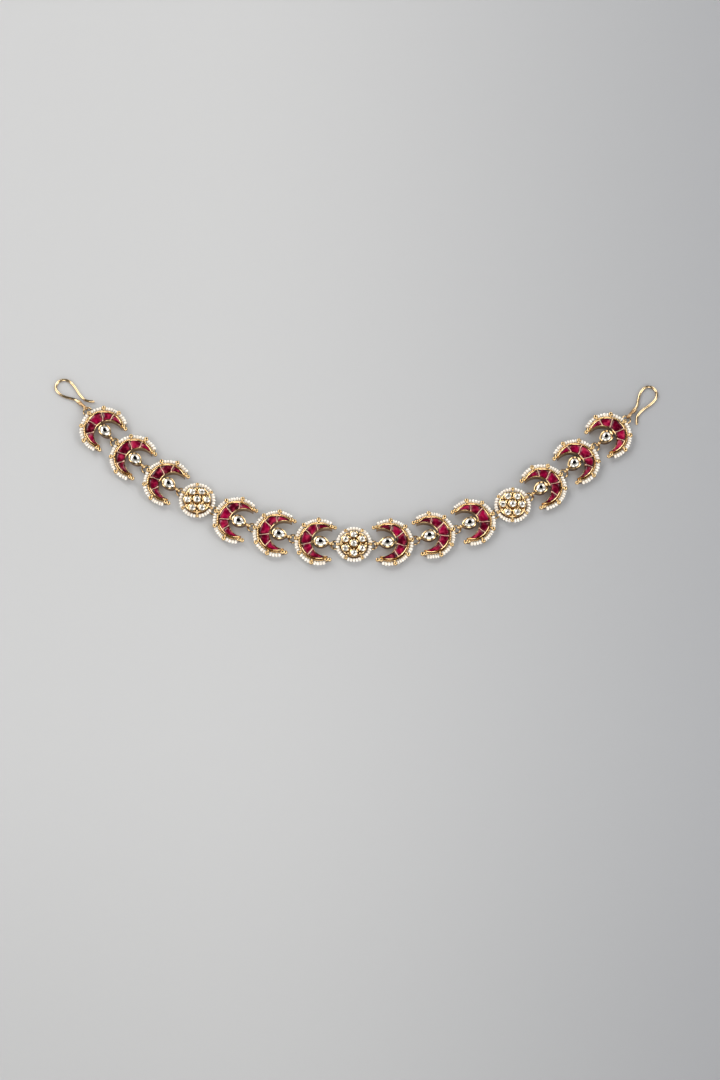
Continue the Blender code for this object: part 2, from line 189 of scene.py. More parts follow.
def copies(body, turns, places, shades=None):
    """One body many times: points = template @ turn + place, faces shifted by the points before."""
    points, quads, fans, shade = body
    many = np.einsum("nj,kij->kni", points, turns) + places[:, None]
    step = np.arange(len(places))[:, None, None] * len(points)
    tone = np.tile(shade, (len(places), 1)) if shades is None else shade * shades[:, None]
    return (
        many.reshape(-1, 3),
        (quads + step).reshape(-1, 4),
        (fans + step).reshape(-1, 3),
        tone.reshape(-1),
    )


def piece_of(name, bodies, material, node, crease=38):
    """The bodies as one closed-up mesh piece in metres that stands for the frame's node."""
    start = np.cumsum([0] + [len(body[0]) for body in bodies[:-1]])
    points = np.concatenate([body[0] for body in bodies]) / 1000
    quads = np.concatenate([body[1] + first for body, first in zip(bodies, start)])
    fans = np.concatenate([body[2] + first for body, first in zip(bodies, start)])
    corners = np.concatenate([quads.reshape(-1), fans.reshape(-1)])
    sizes = np.concatenate([np.full(len(quads), 4), np.full(len(fans), 3)])
    mesh = bpy.data.meshes.new(name)
    mesh.vertices.add(len(points))
    mesh.vertices.foreach_set("co", points.reshape(-1))
    mesh.loops.add(len(corners))
    mesh.loops.foreach_set("vertex_index", corners)
    mesh.polygons.add(len(sizes))
    mesh.polygons.foreach_set("loop_start", np.concatenate([[0], np.cumsum(sizes)[:-1]]))
    mesh.update(calc_edges=True)
    shade = mesh.attributes.new("rubbed", "FLOAT", "POINT")
    shade.data.foreach_set("value", np.concatenate([body[3] for body in bodies]))
    outward = bmesh.new()
    outward.from_mesh(mesh)
    bmesh.ops.recalc_face_normals(outward, faces=outward.faces[:])
    outward.to_mesh(mesh)
    outward.free()
    mesh.shade_smooth()
    mesh.set_sharp_from_angle(angle=math.radians(crease))
    mesh.materials.append(material)
    piece = bpy.data.objects.new(name, mesh)
    bpy.context.collection.objects.link(piece)
    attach(piece, "root")
    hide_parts(node)
    return piece


def polar(radius, degrees, height):
    """Points at a radius and an angle about the local centre, at a height."""
    turn = np.radians(degrees)
    radius, turn, height = np.broadcast_arrays(radius, turn, height)
    return np.stack([radius * np.cos(turn), radius * np.sin(turn), height], axis=-1)


def mouth_edge(degrees, radius):
    """Distance from the rim circle's centre to a circle of this radius about the mouth's centre."""
    turn = np.radians(degrees)
    return MOUTH_OFFSET * np.cos(turn) + np.sqrt(radius**2 - (MOUTH_OFFSET * np.sin(turn)) ** 2)


def carried(path, up, radius, sides, closed=False, shade=0.8):
    """A round section carried along a path: point + radius * (cos * aside + sin * up)."""
    if closed:
        along = np.roll(path, -1, axis=0) - np.roll(path, 1, axis=0)
    else:
        along = np.gradient(path, axis=0)
    aside = np.cross(along, up)
    aside /= np.linalg.norm(aside, axis=1, keepdims=True)
    over = np.cross(aside, along)
    over /= np.linalg.norm(over, axis=1, keepdims=True)
    turn = np.arange(sides) * 2 * np.pi / sides
    reach = np.broadcast_to(radius, len(path))[:, None, None]
    rings = np.cos(turn)[:, None] * aside[:, None] + np.sin(turn)[:, None] * over[:, None]
    return stacked(path[:, None] + reach * rings, shade, closed)


def crescent_tray():
    """The section carried from horn to horn: r = rim circle + out - share * rim on the outer side,
    r = mouth circle - out + share * rim on the inner, with the rim's width under 0.42 of the whole.
    """
    turn = np.linspace(HORN_ANGLE, 360 - HORN_ANGLE, TRAY_STEPS)
    wobble = RIM_WOBBLE * np.sin(np.radians(turn * 5 + chance.uniform(0, 360)))
    outer = RIM_RADIUS + wobble
    mouth = mouth_edge(turn, MOUTH_RADIUS) + MOUTH_WOBBLE * np.cos(np.radians(turn * 7))
    rim = np.minimum(RIM_WIDTH, 0.42 * (outer - mouth))
    horn = np.minimum(1, np.minimum(turn - HORN_ANGLE, 360 - HORN_ANGLE - turn) / HORN_TAPER)
    outside = outer + OUTER_SECTION[:, :1] * horn - OUTER_SECTION[:, 1:2] * rim
    inside = mouth - INNER_SECTION[:, :1] + INNER_SECTION[:, 1:2] * rim
    radius = np.concatenate([outside, inside])
    section = np.concatenate([OUTER_SECTION, INNER_SECTION])
    height = section[:, 2:3] + np.where(section[:, 2:3] > 4, 0.6 * wobble, 0)
    rings = polar(radius, turn, height).transpose(1, 0, 2)
    # The section's last column paints shade low on the walls and light on the rim's top.
    return stacked(rings, section[:, 3])


def beaded_wire(radius, level, start, end, beads, thickness):
    """A wire whose thickness swells and pinches along it: r * (0.70 + 0.30 |sin|)."""
    turn = np.linspace(start, end, beads * 6 + 1)
    swell = np.abs(np.sin(np.pi * beads * (turn - start) / (end - start)))
    size = thickness * (0.70 + 0.30 * swell)
    # Painted shade in the pinches between the beads, painted light on their swells.
    rubbed = 0.15 + 0.85 * swell[:, None]
    return carried(polar(radius, turn, level), UP, size, 7, False, rubbed)


def partition(angle, bend):
    """A thin wall across the tray at an angle, r = 0.24 + 0.15 |2s - 1|^3, and bent by sin(pi s)
    to one side and by sin(2 pi s) to both.
    """
    share = np.linspace(0, 1, 13)
    inner = mouth_edge(angle, MOUTH_RADIUS) + PARTITION_OVERLAP
    radius = inner + (RIM_RADIUS - PARTITION_OVERLAP - inner) * share
    bent = bend[0] * np.sin(np.pi * share) + bend[1] * np.sin(2 * np.pi * share)
    path = polar(radius, angle + bent, PARTITION_LEVEL)
    thickness = 0.24 + 0.15 * np.abs(2 * share - 1) ** 3
    return carried(path, UP, thickness, 8)


def shader_node(nodes, kind, values=(), **settings):
    """A new node with its settings, and the values of its sockets that take no link."""
    node = nodes.new(kind)
    for setting, value in settings.items():
        setattr(node, setting, value)
    for socket, value in dict(values).items():
        node.inputs[socket].default_value = value
    return node


def worked_metal():
    """Group: soft unevenness of hand-worked metal as a shade, a roughness and a normal."""
    group = bpy.data.node_groups.new("worked_metal", "ShaderNodeTree")
    for name, value in (("Scale", 900.0), ("Depth", 0.22), ("Smooth", 0.07), ("Rough", 0.18)):
        socket = group.interface.new_socket(name, in_out="INPUT", socket_type="NodeSocketFloat")
        socket.default_value = value
    group.interface.new_socket("Shade", in_out="OUTPUT", socket_type="NodeSocketFloat")
    group.interface.new_socket("Roughness", in_out="OUTPUT", socket_type="NodeSocketFloat")
    group.interface.new_socket("Normal", in_out="OUTPUT", socket_type="NodeSocketVector")
    nodes, links = group.nodes, group.links
    given, made = nodes.new("NodeGroupInput"), nodes.new("NodeGroupOutput")
    place = nodes.new("ShaderNodeTexCoord")
    cloud = shader_node(nodes, "ShaderNodeTexNoise", {"Detail": 3})
    spread = shader_node(nodes, "ShaderNodeMapRange", {"From Min": 0.3, "From Max": 0.7})
    bump = shader_node(nodes, "ShaderNodeBump", {"Distance": 0.0001})
    links.new(place.outputs["Object"], cloud.inputs["Vector"])
    links.new(given.outputs["Scale"], cloud.inputs["Scale"])
    links.new(cloud.outputs["Fac"], spread.inputs["Value"])
    links.new(given.outputs["Smooth"], spread.inputs["To Min"])
    links.new(given.outputs["Rough"], spread.inputs["To Max"])
    links.new(cloud.outputs["Fac"], bump.inputs["Height"])
    links.new(given.outputs["Depth"], bump.inputs["Strength"])
    links.new(cloud.outputs["Fac"], made.inputs["Shade"])
    links.new(spread.outputs["Result"], made.inputs["Roughness"])
    links.new(bump.outputs["Normal"], made.inputs["Normal"])
    return group


uneven_surface = worked_metal()


def finish_of(name, values, dark, bright, least=0.72, metallic=0.0):
    """A material whose colour runs from dark to bright with the painted light and shade and the tone
    held in its attribute, times the unevenness from its least share up to 1.
    """
    material = bpy.data.materials.new(name)
    material.use_nodes = True
    nodes, links = material.node_tree.nodes, material.node_tree.links
    shader = nodes["Principled BSDF"]
    shader.inputs["Metallic"].default_value = metallic
    surface = shader_node(nodes, "ShaderNodeGroup", values, node_tree=uneven_surface)
    # The attribute read here holds painted light and shade, with real tone: random differences and dark
    # joints.
    rubbed = shader_node(nodes, "ShaderNodeAttribute", attribute_name="rubbed")
    spread = {"From Min": 0.25, "From Max": 0.65, "To Min": least}
    uneven = shader_node(nodes, "ShaderNodeMapRange", spread)
    painted_light_and_unevenness = shader_node(nodes, "ShaderNodeMath", operation="MULTIPLY")
    tint = shader_node(nodes, "ShaderNodeMix", {"A": dark, "B": bright}, data_type="RGBA")
    links.new(surface.outputs["Shade"], uneven.inputs["Value"])
    links.new(rubbed.outputs["Fac"], painted_light_and_unevenness.inputs[0])
    links.new(uneven.outputs["Result"], painted_light_and_unevenness.inputs[1])
    links.new(painted_light_and_unevenness.outputs["Value"], tint.inputs["Factor"])
    links.new(tint.outputs["Result"], shader.inputs["Base Color"])
    links.new(surface.outputs["Roughness"], shader.inputs["Roughness"])
    links.new(surface.outputs["Normal"], shader.inputs["Normal"])
    return material


plated_gold = finish_of("plated_gold", {}, GOLD_PAINTED_SHADE, GOLD_BRIGHT, 0.42, metallic=1.0)
# The partitions run to a pink that is a painted reflection of the rubies.
hammered_gold = finish_of(
    "hammered_gold",
    {"Scale": 1200.0, "Depth": 0.30, "Smooth": 0.30, "Rough": 0.46},
    GOLD_PAINTED_SHADE,
    GOLD_PINK_PAINTED_REFLECTION,
    metallic=1.0,
)

crescent_spots = {key: crescent_spot(key) for key in CRESCENTS}
partition_angles = {}
for key in CRESCENTS:
    side_angles = np.array(PARTITION_ANGLES[key.split("_")[0]])
    angles = side_angles + chance.uniform(-PARTITION_SWAY, PARTITION_SWAY, 4)
    partition_angles[key] = angles
    ends = (HORN_ANGLE + 4, 356 - HORN_ANGLE)
    tray = [
        crescent_tray(),
        beaded_wire(WIRE_RADIUS, WIRE_LEVEL, *ends, WIRE_BEADS, WIRE_THICKNESS),
    ]
    tray = set_down(tray, crescent_spots[key])
    piece_of(f"crescent_tray_{key}", tray, plated_gold, f"crescent_{key}")
    walls = [partition(angle, chance.uniform(*PARTITION_BENDS)) for angle in angles]
    walls = set_down(walls, crescent_spots[key])
    piece_of(f"partitions_{key}", walls, hammered_gold, f"crescent_{key}", ROUND_CREASE)


# Inlaid rubies: five foil-backed stones in each tray, ground to fill their cells, with a
# bevelled edge, a hand-cut table that tips a little, and painted shade on their borders against
# the gold.

INLAY_FOOT = 3.9
INLAY_GIRDLE = 4.32
INLAY_TABLE = 4.66
HORN_CELL_ANGLE = 63.5
CELL_MARGIN = 0.05
CELL_GAP = 1.6
RUBY_SIDES = 28
RUBY_LEAN = 0.10
RUBY_RIPPLE = 0.035
RUBY_CREASE = 24
# One side of each ruby is painted lighter and the other darker, as painted light, by this share.
PAINTED_LIGHT_SIDE = 0.45
FOIL_RANGE = (0.18, 1.10)
# The deep ruby is the colour of the painted shade at the stones' borders.
RUBY_PAINTED_SHADE = (0.026, 0.0001, 0.002, 1)
RUBY_BRIGHT = (0.31, 0.0010, 0.038, 1)
RUBY_VEIN = (0.82, 0.07, 0.15, 1)
# A ruby's levels from foot to table: share of the cell, height, and how light it is painted:
# painted shade at its foot and border, painted light towards its table
RUBY_LEVELS = np.array(
    [
        (1.00, INLAY_FOOT, 0.0),
        (1.00, INLAY_GIRDLE, 0.20),
        (0.90, INLAY_TABLE - 0.12, 0.45),
        (0.74, INLAY_TABLE, 0.62),
        (0.38, INLAY_TABLE + 0.05, 0.85),
        (0.12, INLAY_TABLE + 0.06, 0.92),
    ]
)


def cell_ruby(start, end):
    """Rounded squares in the cell's own two coordinates, u along the arc and v across the tray:
    u, v = share * sign(cos, sin) * |cos, sin| ** 0.5, tipped and rippled on the table. One side
    of the stone is painted lighter and the other darker, as painted light: 1 + 0.45 cos(t - phase).
    """
    turn = np.linspace(0, 2 * np.pi, RUBY_SIDES, endpoint=False)
    square = [np.sign(wave) * np.abs(wave) ** 0.5 for wave in (np.cos(turn), np.sin(turn))]
    u, v = (RUBY_LEVELS[:, :1] * part for part in square)
    middle, half = (start + end) / 2, (end - start) / 2
    angle = middle + half * u
    outer = RIM_RADIUS - RIM_WIDTH - CELL_MARGIN
    inner = mouth_edge(angle, MOUTH_RADIUS + RIM_WIDTH + CELL_MARGIN)
    radius = (outer + inner) / 2 + (outer - inner) / 2 * v
    lean_u, lean_v = chance.uniform(-RUBY_LEAN, RUBY_LEAN, 2)
    ripple = RUBY_RIPPLE * np.sin(3 * u + 4 * v + chance.uniform(0, 6))
    raised = RUBY_LEVELS[:, 1:2] > INLAY_GIRDLE
    height = RUBY_LEVELS[:, 1:2] + np.where(raised, lean_u * u + lean_v * v + ripple, 0)
    lit = 1 + PAINTED_LIGHT_SIDE * np.cos(turn - chance.uniform(0, 2 * np.pi))
    foil_and_painted_light = RUBY_LEVELS[:, 2:3] * chance.uniform(*FOIL_RANGE) * lit
    return stacked(polar(radius, angle, height), foil_and_painted_light)


ruby_glass = finish_of(
    "ruby_on_foil",
    {"Scale": 520.0, "Depth": 0.35, "Smooth": 0.05, "Rough": 0.14},
    RUBY_PAINTED_SHADE,
    RUBY_BRIGHT,
)
ruby_nodes, ruby_links = ruby_glass.node_tree.nodes, ruby_glass.node_tree.links
ruby_shader = ruby_nodes["Principled BSDF"]
ruby_shader.inputs["Specular IOR Level"].default_value = 0.38
ruby_place = ruby_nodes.new("ShaderNodeTexCoord")
crumple = shader_node(ruby_nodes, "ShaderNodeTexVoronoi", {"Scale": 620.0}, feature="SMOOTH_F1")
vein_range = {"From Min": 0.42, "From Max": 0.75, "To Max": 0.36}
vein = shader_node(ruby_nodes, "ShaderNodeMapRange", vein_range)
foil_tint = shader_node(ruby_nodes, "ShaderNodeMix", {"B": RUBY_VEIN}, data_type="RGBA")
deep_tint = ruby_shader.inputs["Base Color"].links[0].from_socket
ruby_links.new(ruby_place.outputs["Object"], crumple.inputs["Vector"])
ruby_links.new(crumple.outputs["Distance"], vein.inputs["Value"])
ruby_links.new(vein.outputs["Result"], foil_tint.inputs["Factor"])
ruby_links.new(deep_tint, foil_tint.inputs["A"])
ruby_links.new(foil_tint.outputs["Result"], ruby_shader.inputs["Base Color"])

for key in CRESCENTS:
    edges = [HORN_CELL_ANGLE, *partition_angles[key], 360 - HORN_CELL_ANGLE]
    gap = np.array([0] + [CELL_GAP] * 4 + [0])
    stones = [
        cell_ruby(edges[cell] + gap[cell], edges[cell + 1] - gap[cell + 1])
        for cell in range(5)
    ]
    stones = set_down(stones, crescent_spots[key])
    piece_of(f"rubies_{key}", stones, ruby_glass, f"crescent_{key}", RUBY_CREASE)


# Collets: a tall drop-shaped gold cup stands in each crescent's mouth, soldered low to the
# inner wall. A wire staple at its point and one at the crescent's back take the jump rings, and two
# gold beads are soldered over the point's staple.

COLLET_MIDDLE = 1.35
COLLET_HALF = 4.2
COLLET_WIDTH = 3.15
WIDE_COLLETS = {"right_4", "right_5", "right_6"}
WIDE_SHARE = 1.09
COLLET_SIDES = 44
POINT_DRAW = 1.2
STAPLE_LEVEL = 1.0
STAPLE_RISE = 0.8
STAPLE_WIRE = 0.22
STAPLE_SHADE = 0.45
TIP_ROOT = COLLET_MIDDLE + COLLET_HALF - 0.6
TIP_REACH = 6.7
BACK_ROOT = RIM_RADIUS - 0.5
BACK_REACH = 12.2
SOLDER_PATH = np.array([(-4.3, 0, 1.5), (-3.0, 0, 1.4), (-1.8, 0, 1.5)])
SOLDER_RADIUS = 0.8
# Beads over the point's staple: radius, distance along the heading, height
TIP_BEADS = ((0.95, TIP_REACH - 0.55, 2.85), (0.80, TIP_REACH + 0.95, 2.45))
BEAD_SIDES = 12
# How far a wider cup's seat and stone are drawn in for each share of extra width, and the level
# from which the cup counts as its seat
SEAT_SHRINK = 3.5
SEAT_LIMIT = -0.7
# Levels of the cup from foot to seat: how far out from the drop's outline, height, and how light
# it is painted: painted shade low on the wall and in the seat, painted light on the rim
COLLET_LEVELS = np.array(
    [
        (-0.30, 0.00, 0.05),
        (-0.45, 1.40, 0.20),
        (-0.30, 3.00, 0.35),
        (0.04, 3.80, 0.30),
        (0.09, 4.15, 0.60),
        (-0.10, 4.48, 0.95),
        (-0.42, 4.60, 1.00),
        (-0.66, 4.46, 0.55),
        (-0.78, 4.20, 0.05),
        (-0.80, 3.60, 0.00),
    ]
)


def drop_outline(turn, out, wide):
    """x = middle + half * cos t, y = 1.13 * width * sin t * sin(t / 2) ** 0.42: a drop, point to
    +x. Further in than the rim its point is drawn back, so that the stone is rounder than the cup.
    """
    reach = COLLET_HALF + out
    breadth = COLLET_WIDTH * wide + out
    drawn = np.clip(-0.3 - out, 0, 0.5) * POINT_DRAW
    x = COLLET_MIDDLE + reach * np.cos(turn) - drawn * (1 + np.cos(turn)) / 2
    y = breadth * 1.13 * np.sin(turn) * np.abs(np.sin(turn / 2)) ** (0.42 - 0.4 * drawn)
    return x, y


def collet(wide):
    """The drop outline drawn in by each level's share, from the foot over the rim to the seat."""
    turn = np.linspace(0, 2 * np.pi, COLLET_SIDES, endpoint=False)
    closer = SEAT_SHRINK * (wide - 1) * (COLLET_LEVELS[:, :1] < SEAT_LIMIT)
    x, y = drop_outline(turn, COLLET_LEVELS[:, :1] - closer, wide)
    height = np.broadcast_to(COLLET_LEVELS[:, 1:2], x.shape)
    return stacked(np.stack([x, y, height], axis=-1), COLLET_LEVELS[:, 2:3])


def staple(root, reach):
    """A wire out along x, round a half circle about the ring's wire and back to its root."""
    turn = np.radians(np.linspace(-90, 90, 11))
    x = np.concatenate([[root], reach + STAPLE_RISE * np.cos(turn), [root]])
    z = STAPLE_LEVEL + STAPLE_RISE * np.concatenate([[-1], np.sin(turn), [1]])
    path = np.stack([x, np.zeros_like(x), z], axis=-1)
    return carried(path, (0, 1, 0), STAPLE_WIRE, 8, False, STAPLE_SHADE)


def mirrored(body):
    """The body on the other side of the local y axis."""
    return body[0] * (-1, 1, 1), *body[1:]


def bead(radius):
    """A ball with its axis along x: radius cos s at x = sin s. Its top is painted light and its
    underside painted shade.
    """
    rise = np.radians(np.linspace(-76, 76, 6))
    turn = np.arange(BEAD_SIDES) * 2 * np.pi / BEAD_SIDES
    x = radius * np.sin(rise)[:, None] + 0 * turn
    across = radius * np.cos(rise)[:, None]
    rubbed = np.clip(0.35 + 0.9 * across * np.sin(turn) / radius, 0.0, 1.0)
    return stacked(np.stack([x, across * np.cos(turn), across * np.sin(turn)], axis=-1), rubbed)


def facing(degrees):
    """Rotations about z by each angle."""
    turn = np.radians(degrees)
    cosine, sine, none, one = np.cos(turn), np.sin(turn), 0 * turn, 1 + 0 * turn
    rows = [[cosine, -sine, none], [sine, cosine, none], [none, none, one]]
    return np.moveaxis(np.array(rows), -1, 0)


def beads_at(body, places, degrees=None):
    """Copies of a body at local points, each turned about z."""
    places = np.array(places, float)
    degrees = np.zeros(len(places)) if degrees is None else np.array(degrees, float)
    return copies(body, facing(degrees), places)


cup_widths = {key: WIDE_SHARE if key in WIDE_COLLETS else 1.0 for key in CRESCENTS}
for key in CRESCENTS:
    cup = [
        collet(cup_widths[key]),
        staple(TIP_ROOT, TIP_REACH),
        mirrored(staple(BACK_ROOT, BACK_REACH)),
        carried(SOLDER_PATH, UP, SOLDER_RADIUS, 10),
    ]
    cup += [beads_at(bead(radius), [(x, 0, z)]) for radius, x, z in TIP_BEADS]
    cup = set_down(cup, crescent_spots[key])
    piece_of(f"collet_{key}", cup, plated_gold, f"crescent_{key}")


# Drop stones: one clear stone on silver foil in each collet, cut with two rows of hand-ground
# facets that show the foil bright, and a small flat table painted near black as a painted
# reflection of the dark above.

STONE_SIDES = 16
STONE_HEART = 0.9
STONE_LEAN = 0.03
FACET_CREASE = 4
# The dark stone colour is a painted dark reflection on the tables.
STONE_PAINTED_REFLECTION = (0.010, 0.010, 0.012, 1)
STONE_BRIGHT = (0.98, 0.93, 0.83, 1)
# Levels of the drop stone: how far out from the cup's outline, share of the size, height, and how
# light it is painted: the foil bright on the facets, darker towards the girdle, and a painted dark
# reflection on the table
DROP_LEVELS = np.array(
    [
        (-0.84, 1.00, 3.70, 0.5),
        (-0.80, 1.00, 4.32, 0.8),
        (-0.82, 0.74, 4.92, 1.0),
        (-0.82, 0.46, 5.12, 0.9),
        (-0.82, 0.39, 5.16, 0.0),
    ]
)


def drop_stone(wide):
    """The drop outline at each level, shrunk about a point near its round end, every second ring
    turned by half a facet. The stones in the wider cups are set smaller.
    """
    step = 2 * np.pi / STONE_SIDES
    turn = np.arange(STONE_SIDES) * step + 0.5 * step * (np.arange(len(DROP_LEVELS))[:, None] % 2)
    x, y = drop_outline(turn, DROP_LEVELS[:, :1] - SEAT_SHRINK * (wide - 1), wide)
    share = DROP_LEVELS[:, 1:2]
    x = STONE_HEART + (x - STONE_HEART) * share
    y = y * share
    lean = chance.uniform(-STONE_LEAN, STONE_LEAN, 2)
    height = DROP_LEVELS[:, 2:3] + (lean[0] * x + lean[1] * y) * (share < 1)
    return stacked(np.stack([x, y, height], axis=-1), DROP_LEVELS[:, 3:4])


clear_stone = finish_of(
    "clear_stone_on_foil",
    {"Scale": 700.0, "Depth": 0.22, "Smooth": 0.03, "Rough": 0.09},
    STONE_PAINTED_REFLECTION,
    STONE_BRIGHT,
    metallic=0.60,
)

for key in CRESCENTS:
    stone = set_down([drop_stone(cup_widths[key])], crescent_spots[key])
    node = f"mouth_stone_{key}"
    piece_of(f"drop_stone_{key}", stone, clear_stone, node, FACET_CREASE)


# Crescent pearls: cream seed pearls, a little flattened, threaded on fine gold wire round each
# crescent in groups of four and five. Between the groups stand round gold studs, drilled from above,
# each with a small bead at its inner side, and two drilled beads close each end at a horn.

STRING_RADIUS = 12.35
STRING_LEVEL = 2.6
PEARL_ACROSS = 2.3
PEARL_PITCH = 1.52
STUD_ANGLES = (100, 140.5, 180, 219.5, 260)
# Every stud may stand a little aside, except the middle one over the back staple
STUD_SWAY = 1.2
STUD_FREE = (1, 1, 0, 1, 1)
STUD_SPACE = 4.4
# A stud's drilled bead and its small inner bead: radius, distance from the middle, height
STUD = (1.26, 12.75, 3.30)
INNER_BEAD = (0.66, 11.35, 4.05)
# Beads that close the string at a horn, for the horn on the left of the heading
HORN_BEADS = np.array([(5.6, 9.5, 3.2), (7.4, 9.3, 3.2)])
HORN_BEAD_RADIUS = 1.25
STRING_ENDS = (64.5, 295.5)
THREAD_ENDS = (49, 311)
THREAD_RADIUS = 0.19
# The thread is painted dark, as painted shade between and under the pearls.
THREAD_SHADE = 0.2
# Profile of a drilled stud: shares of its radius outwards and upwards, and how light it is
# painted: painted shade underneath and in the hole, painted light on top
DRILLED_PROFILE = np.array(
    [
        (0.45, -0.89, 0.20),
        (0.85, -0.52, 0.35),
        (1.00, 0.00, 0.65),
        (0.87, 0.50, 0.95),
        (0.60, 0.81, 1.00),
        (0.36, 0.92, 1.00),
        (0.27, 0.88, 0.05),
        (0.18, 0.50, 0.00),
    ]
)
# The shaded pearl colour is that of painted shade at the pearls' ends.
PEARL_SHADED = (0.74, 0.55, 0.34, 1)
PEARL_CREAM = (1.0, 0.955, 0.87, 1)


def pearl():
    """A seed pearl along x, drilled through: radius cos s ** 0.8 at x = sin s, dimpled at both drill
    ends, with painted shade there where it meets its neighbours.
    """
    rise = np.radians(np.array([-68, -40, -13, 13, 40, 68]))
    turn = np.arange(10) * 2 * np.pi / 10
    x = np.sin(rise)[:, None] + 0 * turn
    across = (np.cos(rise) ** 0.8)[:, None]
    rings = np.stack([x, across * np.cos(turn), across * np.sin(turn)], axis=-1)
    # Painted shade at both ends, darkest in the drill dimples.
    points, quads, fans, shade = stacked(rings, np.array([0.4, 0.95, 1, 1, 0.95, 0.4])[:, None])
    points[-2:, 0] *= 0.8
    shade[-2:] = 0.0
    return points, quads, fans, shade


def drilled_bead(radius):
    """The drilled profile turned round an upright axis."""
    turn = np.arange(12) * 30.0
    rings = polar(radius * DRILLED_PROFILE[:, :1], turn, radius * DRILLED_PROFILE[:, 1:2])
    return stacked(rings, DRILLED_PROFILE[:, 2:3])


def strung_angles(start, end, radius):
    """Middles of the pearls that fill an arc, and the angle that each takes."""
    count = int(round(math.radians(end - start) * radius / PEARL_PITCH))
    edges = np.linspace(start, end, count + 1)
    return (edges[1:] + edges[:-1]) / 2, np.full(count, (end - start) / count)


def strung_pearls(angles, spans, radius):
    """Pearls on an arc, each scaled to its share of it, with small differences in size and place."""
    count = len(angles)
    along = np.radians(spans) * radius / 2 * chance.uniform(0.97, 1.08, count)
    across = PEARL_ACROSS / 2 * chance.uniform(0.93, 1.06, count)
    sizes = np.stack([along, across, across * chance.uniform(0.95, 1.03, count)], axis=-1)
    turns = facing(angles + 90 + chance.uniform(-7, 7, count)) * sizes[:, None]
    reach = radius + chance.uniform(-0.07, 0.07, count)
    places = polar(reach, angles, STRING_LEVEL + chance.uniform(0, 0.12, count))
    return copies(pearl(), turns, places, chance.uniform(0.92, 1.05, count))


def pearls_between(starts, ends, radius):
    """Pearls that fill every arc from its start to its end."""
    arcs = [strung_angles(start, end, radius) for start, end in zip(starts, ends)]
    angles, spans = (np.concatenate(parts) for parts in zip(*arcs))
    return strung_pearls(angles, spans, radius)


def thread(radius, start, end):
    """The pearls' gold wire along an arc at the string's level."""
    path = polar(radius, np.linspace(start, end, 61), STRING_LEVEL)
    return carried(path, UP, THREAD_RADIUS, 6, False, THREAD_SHADE)


seed_pearl = finish_of(
    "seed_pearl_lustre",
    {"Scale": 300.0, "Depth": 0.05, "Smooth": 0.20, "Rough": 0.32},
    PEARL_SHADED,
    PEARL_CREAM,
)
pearl_shader = seed_pearl.node_tree.nodes["Principled BSDF"]
pearl_shader.inputs["Coat Weight"].default_value = 0.15
pearl_shader.inputs["Coat Roughness"].default_value = 0.12

for key in CRESCENTS:
    node = f"pearl_string_{key}"
    studs = np.array(STUD_ANGLES) + chance.uniform(-STUD_SWAY, STUD_SWAY, 5) * STUD_FREE
    starts = [STRING_ENDS[0], *(studs + STUD_SPACE)]
    ends = [*(studs - STUD_SPACE), STRING_ENDS[1]]
    pearls = set_down([pearls_between(starts, ends, STRING_RADIUS)], crescent_spots[key])
    piece_of(f"seed_pearls_{key}", pearls, seed_pearl, node, ROUND_CREASE)
    metal = [
        thread(STRING_RADIUS, *THREAD_ENDS),
        beads_at(bead(INNER_BEAD[0]), polar(INNER_BEAD[1], studs, INNER_BEAD[2]), studs),
        beads_at(drilled_bead(STUD[0]), polar(STUD[1], studs, STUD[2])),
        beads_at(drilled_bead(HORN_BEAD_RADIUS), [*HORN_BEADS, *HORN_BEADS * (1, -1, 1)]),
    ]
    metal = set_down(metal, crescent_spots[key])
    piece_of(f"pearl_studs_{key}", metal, plated_gold, node, ROUND_CREASE)


# Seven-stone discs: a round gold body with a turned edge carries one raised bezel and six
# lower ones round it, granules in the gaps between them, and a wire staple at each side.

DISCS = ("centre", "left", "right")
DISC_TOP = 4.0
DISC_ROOT = 7.0
DISC_REACH = 8.13
STONE_RING = 5.3
OUTER_SEATS = np.arange(6) * 60 + 30
GRANULE_ANGLES = np.arange(6) * 60.0
# Granules: radius, distance from the middle, height and angles
GRANULES = (
    (0.50, 3.70, 4.25, GRANULE_ANGLES),
    (0.62, 6.50, 4.30, GRANULE_ANGLES),
    (0.34, 2.95, 4.45, OUTER_SEATS),
)
DISC_SIDES = 60
BEZEL_SIDES = 24
DISC_STONE_SIDES = 10
SETTING_WALL = 0.58
DISC_STONE_LEAN = 0.08
# How many times lighter than the painted dark reflection a stone's table may be
TABLE_GAINS = (1.0, 4.0, 9.0)
# Profile of the disc's body: radius, height, and how light it is painted: painted shade low on
# the side and in the groove over the flange, painted light on the edge's top
DISC_PROFILE = np.array(
    [
        (7.30, 0.00, 0.15),
        (7.42, 1.20, 0.35),
        (7.45, 2.20, 0.30),
        (7.72, 2.45, 0.60),
        (7.50, 2.80, 0.10),
        (7.42, 3.60, 0.60),
        (7.36, 3.98, 0.95),
        (7.10, 4.10, 1.00),
        (6.85, 3.98, 0.90),
        (6.60, 3.92, 0.85),
        (4.60, 4.22, 0.85),
        (3.40, 4.24, 0.80),
        (2.40, 3.95, 0.50),
        (1.50, 3.95, 0.50),
    ]
)
# Profile of a bezel about its own axis: radius less the bezel's, height above the body, and how
# light it is painted: painted shade at its foot and inside, painted light on its lip
BEZEL_PROFILE = np.array(
    [
        (0.06, -0.60, 0.20),
        (0.06, 0.10, 0.50),
        (0.04, 0.40, 0.90),
        (-0.08, 0.64, 1.00),
        (-0.32, 0.72, 1.00),
        (-0.54, 0.58, 0.60),
        (-0.62, 0.10, 0.00),
    ]
)
